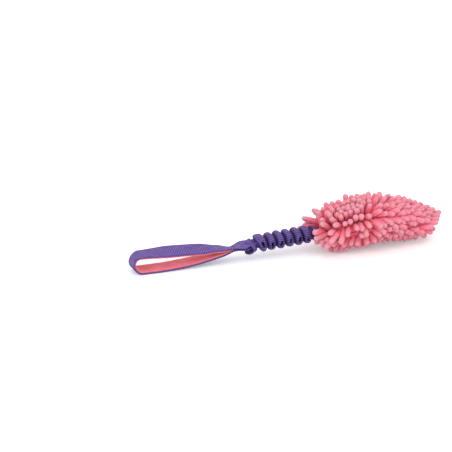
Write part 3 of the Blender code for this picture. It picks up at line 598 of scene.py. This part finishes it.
# The tab from the sleeve's end into the mop, with a waist where the cone ends
tab = dict(width=17 * mm, thickness=2.2 * mm, start=226.3 * mm, level=235.3 * mm, end=253.9 * mm,
           waist=3.5 * mm)
s = np.arange(tab["start"], tab["end"], strap["step"])
drop = (tab["thickness"] + strap["gap"]) / 2
joined = eased(s, tab["level"], sleeve["end"] - tab["level"])
z = sleeveHeight(s) - drop + (sleeve["endHeight"] - sleeveHeight(s) + drop) * joined
narrow = np.exp(-((s - sleeve["end"]) / tab["waist"]) ** 2) * tab["waist"]
mopTab = bandPiece("mop_tab", gridOf(s, z, 0.0, tab["width"] - narrow), s, tab["thickness"], 12)
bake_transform(mopTab)
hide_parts("tail_tab")
print("elastic and tab made")

# The mop head: two domed panels over a foam pad, each with its chenille strands
mop = dict(start=243.9 * mm, length=136 * mm, width=56 * mm, seam=24.0 * mm, arch=9.0 * mm, archStart=0.15,
           upper=10.5 * mm, under=12.0 * mm, wall=1.5 * mm, lip=0.02, ramp=0.26, corner=0.55,
           columns=60, rows=34)
mopReach, mopSide = mop["length"] / 2, mop["width"] / 2
mopMiddle = mop["start"] + mopReach


# Height of the seam between the panels: level at the lip, then half a sine wave
def seamHeight(x):
    along = (x - bendX - mopMiddle) / mopReach
    share = np.clip((along + 1.0 - mop["archStart"]) / (2.0 - mop["archStart"]), 0.0, 1.0)
    return mop["seam"] + mop["arch"] * np.sin(pi * share)


# Half the gap between the panels: 0.15 mm, and 1.5 mm more round the tab
def tabRoom(x, y):
    beside = np.clip((tab["width"] - np.abs(y)) / (tab["width"] / 2), 0.0, 1.0)
    behind = np.clip((bendX + mop["start"] + 20 * mm - x) / (10 * mm), 0.0, 1.0)
    return 0.15 * mm + 1.5 * mm * beside * behind


# Height of a panel over the seam: dome * front ramp * (1 - u^4)^0.5 * (1 - v^2)^0.5
def panelHeight(u, v, dome):
    front = smoothStep((u + 1.0 - mop["lip"]) / mop["ramp"])
    back = np.sqrt(np.clip(1.0 - np.clip(u, 0.0, 1.0) ** 4, 0.0, 1.0))
    return dome * front * back * np.sqrt(np.clip(1.0 - v * v, 0.0, 1.0))


# Plan of a panel: a rectangle whose corners are drawn in by half of 0.55 * v^2 and of 0.55 * u^2
def panelPlan(u, v, inset):
    x = bendX + mopMiddle + (mopReach - inset) * u * np.sqrt(1.0 - mop["corner"] * v * v / 2)
    y = (mopSide - inset) * v * np.sqrt(1.0 - mop["corner"] * u * u / 2)
    return x, y


# A closed lens between two heights over the same plan, from u = front to the rear
def lensPiece(name, material, inset, front, heightA, heightB):
    along = front + (1.0 - front) * (np.sin(np.linspace(-pi / 2, pi / 2, mop["columns"])) + 1.0) / 2
    u, v = np.meshgrid(along, np.sin(np.linspace(-pi / 2, pi / 2, mop["rows"])), indexing="ij")
    x, y = panelPlan(u, v, inset)
    sheets = [gridOf(x, y, seamHeight(x) + height(u, v, tabRoom(x, y))) for height in (heightA, heightB)]
    rows, cols = u.shape
    r, c = np.arange(rows - 1)[:, None], np.arange(cols - 1)
    quads = gridQuads(r, r + 1, c, c + 1, cols)[:, [0, 3, 2, 1]]
    count = rows * cols
    rear = (rows - 1) * cols + np.arange(cols - 2, -1, -1)
    ring = np.concatenate([np.arange(cols), np.arange(1, rows) * cols + cols - 1, rear,
                           np.arange(rows - 2, 0, -1) * cols])
    after = np.roll(ring, -1)
    wall = np.stack([ring, after, after + count, ring + count], -1)
    points = np.concatenate([sheet.reshape(-1, 3) for sheet in sheets])
    return arrayMesh(name, material, points, [quads, quads[:, ::-1] + count, wall])


def panelPiece(name, side, dome):
    return lensPiece(
        name, groundCloth, 0.0, -1.0,
        lambda u, v, room: side * (room + mop["wall"] + panelHeight(u, v, dome)),
        lambda u, v, room: side * (room + panelHeight(u, v, dome - mop["wall"])))


upperPanel = panelPiece("upper_panel", 1.0, mop["upper"])
underPanel = panelPiece("under_panel", -1.0, mop["under"])
for panel in (upperPanel, underPanel):
    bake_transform(panel)

filling = dict(front=-0.78, slack=1.2 * mm, inset=4 * mm)
foamPad = lensPiece(
    "foam_pad", padFoam, filling["inset"], filling["front"],
    lambda u, v, room: 0.1 * mm + panelHeight(u, v, mop["upper"] - mop["wall"] - filling["slack"]),
    lambda u, v, room: -0.1 * mm - panelHeight(u, v, mop["under"] - mop["wall"] - filling["slack"]))
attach(foamPad, "mop")
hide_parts("mop_filling")
print("panels and pad made")

# Chenille strands: rooted on the panels, fanning out and combed to the rear, then pushed apart until they
# just touch. u runs from -1 to 1 along the mop, v across it; the combs are tables over u, and the swell
# and the tuft waves run along a strand.
strand = dict(
    spacing=6.6 * mm, radius=3.5 * mm, upperLength=21 * mm, underLength=16.4 * mm, lengthSpread=0.10,
    jitter=0.11, outerRow=0.975, rim=0.985, sunk=0.4 * mm, lean=0.07, sideLean=0.22, knots=6, sides=8,
    passes=55, neighbours=260, touch=0.94, push=0.5, pushMost=1.2 * mm, pull=0.04, floor=2.6 * mm,
    tuft=0.07, tuftWaves=4.4,
    upperComb=((-1.0, -2.2), (-0.88, -1.2), (-0.66, -0.35), (-0.3, -0.1), (0.0, 0.3), (0.3, 1.2), (0.6, 2.0),
               (1.0, 2.6)),
    underComb=((-1.0, -2.2), (-0.7, -0.7), (0.0, 0.1), (0.6, 0.3), (1.0, 1.1)),
    sideComb=0.35, farComb=-2.2, nearShare=0.6, facing=(-0.30, -0.72, 0.62), facingShare=0.56,
    frontGain=0.34, middleGain=0.12, rearGain=0.30, rearLoss=0.12,
    swell=((0.0, 0.70), (0.08, 0.78), (0.16, 0.86), (0.24, 0.92), (0.32, 0.97), (0.40, 1.0), (0.48, 1.0),
           (0.56, 1.0), (0.64, 1.0), (0.72, 1.0), (0.80, 1.0), (0.87, 0.97), (0.93, 0.87), (0.985, 0.55)),
    parting=(0.85, 1.2), partingReach=1.4, clearHeight=13.4 * mm, clearWidth=17.5 * mm,
    coneHeightLoss=6 * mm, coneWidthLoss=5 * mm, seed=31)


# Roots on a jittered hexagonal grid over the plan of one side. u and v solve x = u * (1 - 0.55 v^2 / 2)^0.5
# and y = v * (1 - 0.55 u^2 / 2)^0.5 in six rounds.
def strandRoots(side, dome, rng):
    step, jitter = strand["spacing"], strand["jitter"]
    outer = strand["outerRow"] * mopSide
    rows = np.linspace(-outer, outer, 1 + round(2 * outer / (step * 0.866)))
    cols = np.arange(-mopReach, mopReach, step)
    x, y = np.meshgrid(cols, rows, indexing="ij")
    x = x + (np.arange(len(rows)) % 2)[None] * step / 2
    x, y = x.ravel(), y.ravel()
    x = x + rng.uniform(-jitter, jitter, len(x)) * step
    y = y + rng.uniform(-jitter, jitter, len(y)) * step
    u, v = x / mopReach, y / mopSide
    for _ in range(6):
        u, v = (x / mopReach / np.sqrt(np.clip(1 - mop["corner"] * v * v / 2, 0.2, 1)),
                y / mopSide / np.sqrt(np.clip(1 - mop["corner"] * u * u / 2, 0.2, 1)))
    keep = (np.abs(u) < strand["rim"]) & (np.abs(v) < strand["rim"])
    x, y, u, v = x[keep], y[keep], u[keep], v[keep]
    x = bendX + mopMiddle + x
    z = seamHeight(x) + side * (panelHeight(u, v, dome) + tabRoom(x, y) + mop["wall"] - strand["sunk"])
    return np.stack([x, y, z], -1), u, v


# A strand's heading: outwards from the panel, combed along +X by its place, apart beside the tab.
# Side strands droop by edge + 0.3 edge^4 above, and by 0.35 edge + 0.8 edge^4 below.
def strandHeading(u, v, side, roots, rng):
    comb = easedTable(u, strand["upperComb"] if side > 0 else strand["underComb"])
    beside = smoothStep(strand["partingReach"] - np.abs(roots[:, 1]) / (tab["width"] / 2))
    front = eased(-u, 0.72, 0.2)
    comb = comb + strand["farComb"] * front * eased(v, 0.3, 0.4) * (side > 0)
    comb = comb * (1.0 - (1.0 - strand["nearShare"]) * front * eased(-v, 0.0, 0.3))
    parting = strand["parting"][0 if side > 0 else 1]
    comb = np.where(u < 0, comb * (1.0 - parting * beside), comb)
    edge = eased(np.abs(v), 0.1, 0.9)
    comb = comb + strand["sideComb"] * edge * eased(u, -0.45, 0.5)
    end = eased(np.abs(u), 0.75, 0.25)
    droop = edge + 0.30 * edge ** 4 if side > 0 else 0.35 * edge + 0.80 * edge ** 4
    rise = side * (1.0 - droop) * (1.0 - 0.45 * end) + rng.uniform(-1, 1, len(u)) * strand["sideLean"] * edge
    heading = unit(np.stack([comb, (1.0 if side > 0 else 0.8) * v, rise], -1))
    # a cluster behind the lip on one side stands out together
    cluster = eased(u, -1.06, 0.2) * eased(-u, 0.05, 0.4) * (side > 0)
    cluster = cluster * eased(-v, -0.65, 0.6) * eased(v, -1.1, 0.9)
    heading = mix(heading, np.array(strand["facing"]), (strand["facingShare"] * cluster)[:, None])
    return unit(unit(heading) + rng.normal(0.0, strand["lean"], heading.shape))


# Keeps points out of the sleeve: those inside an ellipse round its line move out to it
def offSleeve(points):
    s = points[..., 0] - bendX
    wide = strand["clearWidth"] - strand["coneWidthLoss"] * coneShare(s)
    high = strand["clearHeight"] - strand["coneHeightLoss"] * coneShare(s)
    up = points[..., 2] - sleeveHeight(s)
    place = np.maximum(np.sqrt((points[..., 1] / wide) ** 2 + (up / high) ** 2), 0.05)
    grow = np.where((s < sleeve["end"]) & (place < 1.0), 1.0 / place, 1.0)
    return np.stack([points[..., 0], points[..., 1] * grow, sleeveHeight(s) + up * grow], -1)


# Pushes the strands' knots apart where two strands are closer than a diameter, keeping roots and lengths.
# Only the knots that follow each other along +X are compared.
def pushApart(knots, lengths):
    count, knotCount, _ = knots.shape
    owner = np.repeat(np.arange(count), knotCount - 1)
    girth = np.interp(np.linspace(0.0, 1.0, knotCount)[1:], *zip(*strand["swell"]))
    girth = np.tile(np.maximum(girth, 0.8), count).astype(np.float32)
    rest = knots.copy()
    least = 2 * strand["radius"] * strand["touch"]
    for _ in range(strand["passes"]):
        moving = knots[:, 1:].reshape(-1, 3).astype(np.float32)
        order = np.argsort(moving[:, 0])
        pushes = np.zeros_like(moving)
        line = moving[order]
        for reach in range(1, strand["neighbours"]):
            a, b = order[:-reach], order[reach:]
            near = line[reach:, 0] - line[:-reach, 0] < least
            if not near.any():
                break
            a, b = a[near], b[near]
            gap = moving[a] - moving[b]
            distance = np.linalg.norm(gap, axis=1)
            reachOf = least * (girth[a] + girth[b]) / 2
            close = (distance < reachOf) & (owner[a] != owner[b])
            gap, distance, reachOf = gap[close], distance[close], reachOf[close]
            share = ((reachOf - distance) * strand["push"])[:, None]
            shove = gap / np.maximum(distance, 1e-7)[:, None] * share
            np.add.at(pushes, a[close], shove)
            np.add.at(pushes, b[close], -shove)
        moved = pushes.reshape(count, -1, 3) * strand["push"]
        knots[:, 1:] += np.clip(moved, -strand["pushMost"], strand["pushMost"])
        knots[:, 1:] += (rest[:, 1:] - knots[:, 1:]) * strand["pull"]
        knots[:, 1:] = offSleeve(knots[:, 1:])
        for k in range(1, knotCount):
            link = knots[:, k] - knots[:, k - 1]
            knots[:, k] = knots[:, k - 1] + unit(link) * (lengths / (knotCount - 1))[:, None]
        knots[:, 1:, 2] = np.maximum(knots[:, 1:, 2], strand["floor"])
    return knots


# Strand tubes round smooth curves through the knots: radius = r * profile(t) * (1 + tuft * sin)
def strandTubes(name, knots, rng):
    count, knotCount, _ = knots.shape
    t, swell = np.array(strand["swell"]).T
    rings, sides = len(t), strand["sides"]
    place = t * (knotCount - 1)
    k = np.clip(place.astype(int), 0, knotCount - 2)
    f = (place - k)[None, :, None]
    padded = np.concatenate([2 * knots[:, :1] - knots[:, 1:2], knots, 2 * knots[:, -1:] - knots[:, -2:-1]], 1)
    a, b, c, d = padded[:, k], padded[:, k + 1], padded[:, k + 2], padded[:, k + 3]
    curve = 0.5 * (2 * b + (c - a) * f + (2 * a - 5 * b + 4 * c - d) * f ** 2
                   + (3 * b - a - 3 * c + d) * f ** 3)
    tangent = unit(np.gradient(curve, axis=1))
    helper = np.where(np.abs(tangent[..., 2:3]) > 0.8, np.array([1.0, 0, 0]), np.array([0, 0, 1.0]))
    helper = np.broadcast_to(helper[:, :1], tangent.shape)
    first = unit(np.cross(tangent, helper))
    second = np.cross(tangent, first)
    phase = rng.uniform(0, 2 * pi, (count, 1))
    size = strand["radius"] * rng.uniform(0.92, 1.06, (count, 1)) * swell[None]
    size = size * (1.0 + strand["tuft"] * np.sin(2 * pi * strand["tuftWaves"] * t[None] + phase))
    turn = roundSteps(sides)
    rough = 1.0 + rng.uniform(-0.06, 0.06, (count, rings, sides))
    ring = first[:, :, None] * np.cos(turn)[:, None] + second[:, :, None] * np.sin(turn)[:, None]
    points = curve[:, :, None] + ring * (size[:, :, None] * rough)[..., None]
    tips = curve[:, -1] + tangent[:, -1] * strand["radius"] * 0.22
    feet = curve[:, 0] - tangent[:, 0] * strand["radius"] * 0.2
    per = rings * sides + 2
    allPoints = np.concatenate([points.reshape(count, -1, 3), tips[:, None], feet[:, None]], 1).reshape(-1, 3)
    r, c = np.arange(rings - 1)[:, None], np.arange(sides)
    n, top = (c + 1) % sides, (rings - 1) * sides
    tipTris = np.stack([np.full(sides, per - 2), top + c, top + n], -1)
    footTris = np.stack([np.full(sides, per - 1), n, c], -1)
    base = (np.arange(count) * per)[:, None, None]
    faceSets = [(faces[None] + base).reshape(-1, faces.shape[1])
                for faces in (gridQuads(r, r + 1, c, n, sides), tipTris, footTris)]
    shareOf = np.concatenate([np.repeat(t, sides), [1.0, 0.0]])
    tone = rng.uniform(0, 1, count)
    table = np.stack([np.tile(shareOf, count), np.repeat(tone, per)], -1)
    uv = np.concatenate([table[f].reshape(-1, 2) for f in faceSets])
    return arrayMesh(name, strandPile, allPoints, faceSets, uv)


def strandKnots(roots, headings, u, side, lengths):
    t = np.linspace(0.0, 1.0, strand["knots"])[None, :, None]
    bend = np.zeros_like(headings)
    bend[:, 0] = 0.30 * np.clip(u + 0.1, 0.0, 1.0)
    bend[:, 2] = np.where(side > 0, -0.12, -0.05)
    reach = headings[:, None] * t + bend[:, None] * t ** 2
    return roots[:, None] + reach * lengths[:, None, None]


rng = np.random.default_rng(strand["seed"])
upRoots, upU, upV = strandRoots(1.0, mop["upper"], rng)
downRoots, downU, downV = strandRoots(-1.0, mop["under"], rng)
roots = np.concatenate([upRoots, downRoots])
sides = np.concatenate([np.ones(len(upRoots)), -np.ones(len(downRoots))])
headings = np.concatenate([strandHeading(upU, upV, 1.0, upRoots, rng),
                           strandHeading(downU, downV, -1.0, downRoots, rng)])
lengths = np.where(sides > 0, strand["upperLength"], strand["underLength"])
lengths = lengths * (1.0 + rng.uniform(-1, 1, len(roots)) * strand["lengthSpread"])
rootU, rootV = np.concatenate([upU, downU]), np.concatenate([upV, downV])
# longer at the front above, shorter to the rear below, longer at the mop's end and below its middle
lengths = lengths * (1.0 + strand["frontGain"] * eased(-rootU, 0.65, 0.2) * (sides > 0))
lengths = lengths * (1.0 - strand["rearLoss"] * eased(rootU, -0.7, 1.0) * (sides < 0))
lengths = lengths * (1.0 + strand["rearGain"] * eased(rootU, 0.7, 0.25))
gain = strand["middleGain"] * (1.0 - np.abs(rootV)) * eased(rootU, -0.6, 0.4) * (sides < 0)
lengths = lengths * (1.0 + gain)
knots = strandKnots(roots, headings, rootU, sides, lengths)
knots = pushApart(knots, lengths)
for name, mask, node in (("upper_strands", sides > 0, "mop_upper"),
                         ("under_strands", sides < 0, "mop_under")):
    piece = strandTubes(name, knots[mask], rng)
    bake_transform(piece)
    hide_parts(node)
    print(name, int(mask.sum()), "strands,", len(piece.data.polygons), "faces")


# Bar tacks: a zigzag of thread above and below what they hold, as a tube along the zigzag.
# reach and halfInside are half the tack's width and half the height of what it holds.
tack = dict(thread=0.33 * mm, passes=15, spread=0.9 * mm, bow=0.3 * mm, clear=0.15 * mm, sides=6)


def tackPiece(name, s, height, lean, reach, halfInside, body, node):
    steps = tack["passes"] * 2
    loops = []
    for side in (1.0, -1.0):
        share = np.linspace(-1, 1, steps)
        x = bendX + s + tack["spread"] * np.where(np.arange(steps) % 2, 0.5, -0.5)
        across = reach * share * side
        up = side * (halfInside + tack["clear"] + tack["bow"] * (1 - share ** 2))
        y = across * cos(lean) - up * sin(lean)
        z = height + across * sin(lean) + up * cos(lean)
        loops.append(np.stack([x, y, z], -1))
    path = np.concatenate(loops)
    path = np.concatenate([path, path[:1]])
    fine = np.linspace(0, len(path) - 1, (len(path) - 1) * 4 + 1)[:-1]
    points = resample(fine, np.arange(len(path)), path)
    points = soften(points, np.array([1, 2, 3, 2, 1]) / 9.0, "wrap")
    tangent = unit(np.roll(points, -1, 0) - np.roll(points, 1, 0))
    outward = unit(points - np.array([bendX + s, 0.0, height]))
    first = unit(np.cross(tangent, outward))
    second = np.cross(tangent, first)
    turn = roundSteps(tack["sides"])[None, :, None]
    grid = points[:, None] + tack["thread"] * (first[:, None] * np.cos(turn) + second[:, None] * np.sin(turn))
    rows, cols = grid.shape[:2]
    r, c = np.arange(rows)[:, None], np.arange(cols)
    quads = gridQuads(r, (r + 1) % rows, c, (c + 1) % cols, cols)
    piece = arrayMesh(name, tackThread, grid.reshape(-1, 3), [quads])
    if body == "mop":
        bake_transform(piece)
    else:
        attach(piece, body)
    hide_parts(node)


neckTack = strap["loopLength"] + 1.8 * mm
tackPiece("neck_stitches", neckTack, float(neckHeight(neckTack)), neckLean(neckTack), 9.5 * mm, 2.4 * mm,
          "handle", "neck_bartack")
tackPiece("mouth_stitches", sleeve["frontGroove"], sleeveHeight(sleeve["frontGroove"]), 0.0, 6.5 * mm,
          gather["valleyHeight"], "bungee", "mouth_bartack")
tackPiece("tail_stitches", sleeve["rearGroove"], sleeveHeight(sleeve["rearGroove"]), 0.0, 6.7 * mm,
          gather["valleyHeight"], "tail", "tail_bartack")
mopTack = (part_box("mop_bartack")[0].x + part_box("mop_bartack")[1].x) / 2 - bendX
tackPiece("mop_stitches", mopTack, mop["seam"], 0.0, 9.35 * mm, 3.2 * mm, "mop", "mop_bartack")
print("stitches made")

# Floor: pale paper that keeps the toy's shadow and reads as white beside it
studio = dict(floor="#f7f7f7", glow=0.28, world=0.92, floorReach=4.0)
paper, tree, shader = startMaterial("matt white paper", {"Roughness": 0.9, "Specular IOR Level": 0.1})
shader.inputs["Base Color"].default_value = hexColor(studio["floor"])
rays = addNode(tree, "LightPath")
direct = addNode(tree, "Math", {0: rays.outputs["Is Camera Ray"], 1: studio["glow"]}, operation="MULTIPLY")
glow = addNode(tree, "Emission", {"Color": (1, 1, 1, 1), "Strength": direct})
both = addNode(tree, "AddShader", {0: shader, 1: glow})
tree.links.new(both.outputs[0], tree.nodes["Material Output"].inputs["Surface"])
floorPoints = studio["floorReach"] * np.array([[-1, -1, 0], [1, -1, 0], [1, 1, 0], [-1, 1, 0]])
floorPiece = arrayMesh("floor", paper, floorPoints, [np.array([[0, 1, 2, 3]])])

world = bpy.data.worlds.new("studio")
scene.world = world
world.use_nodes = True
tree = world.node_tree
rays = addNode(tree, "LightPath")
seen = addNode(tree, "Math", {0: rays.outputs["Is Camera Ray"], 1: rays.outputs["Is Glossy Ray"]},
               operation="MAXIMUM")
seen = addNode(tree, "Math", {0: seen, 1: rays.outputs["Is Transmission Ray"]}, operation="MAXIMUM")
level = addNode(tree, "Math", {0: seen, 1: 1.0 - studio["world"], 2: studio["world"]},
                operation="MULTIPLY_ADD")
background = tree.nodes["Background"]
tree.links.new(level.outputs[0], background.inputs["Strength"])
background.inputs["Color"].default_value = (1, 1, 1, 1)

# Lights aimed at the toy's middle: name, place, diameter and power
for name, place, size, power in (("key", (-0.1, -0.75, 1.3), 0.8, 3.6), ("fill", (-0.9, -1.1, 0.7), 1.0, 3.7),
                                 ("rim", (0.2, 1.2, 0.9), 1.0, 1.9)):
    light = bpy.data.lights.new(name, "AREA")
    light.shape = "DISK"
    light.size = size
    light.energy = power
    lamp = bpy.data.objects.new(name, light)
    scene.collection.objects.link(lamp)
    lamp.location = place
    lamp.rotation_euler = (-Vector(place)).to_track_quat("-Z", "Y").to_euler()

# Camera: the photograph's direction, 18 degrees to the loop's side and 21 above
view = dict(azimuth=-18.0, elevation=21.0, distance=2.0, aim=(-0.0774, 0.0, 0.0461), focal=1644.0,
            frame=452.0)
azimuth, elevation = radians(view["azimuth"]), radians(view["elevation"])
back = Vector((sin(azimuth) * cos(elevation), -cos(azimuth) * cos(elevation), sin(elevation)))
cameraData = bpy.data.cameras.new("camera")
cameraData.sensor_width = 36.0
cameraData.lens = view["focal"] / view["frame"] * cameraData.sensor_width
camera = bpy.data.objects.new("camera", cameraData)
scene.collection.objects.link(camera)
camera.location = Vector(view["aim"]) + back * view["distance"]
camera.rotation_euler = (-back).to_track_quat("-Z", "Y").to_euler()
scene.camera = camera
scene.view_settings.view_transform = "Standard"
print("studio made")
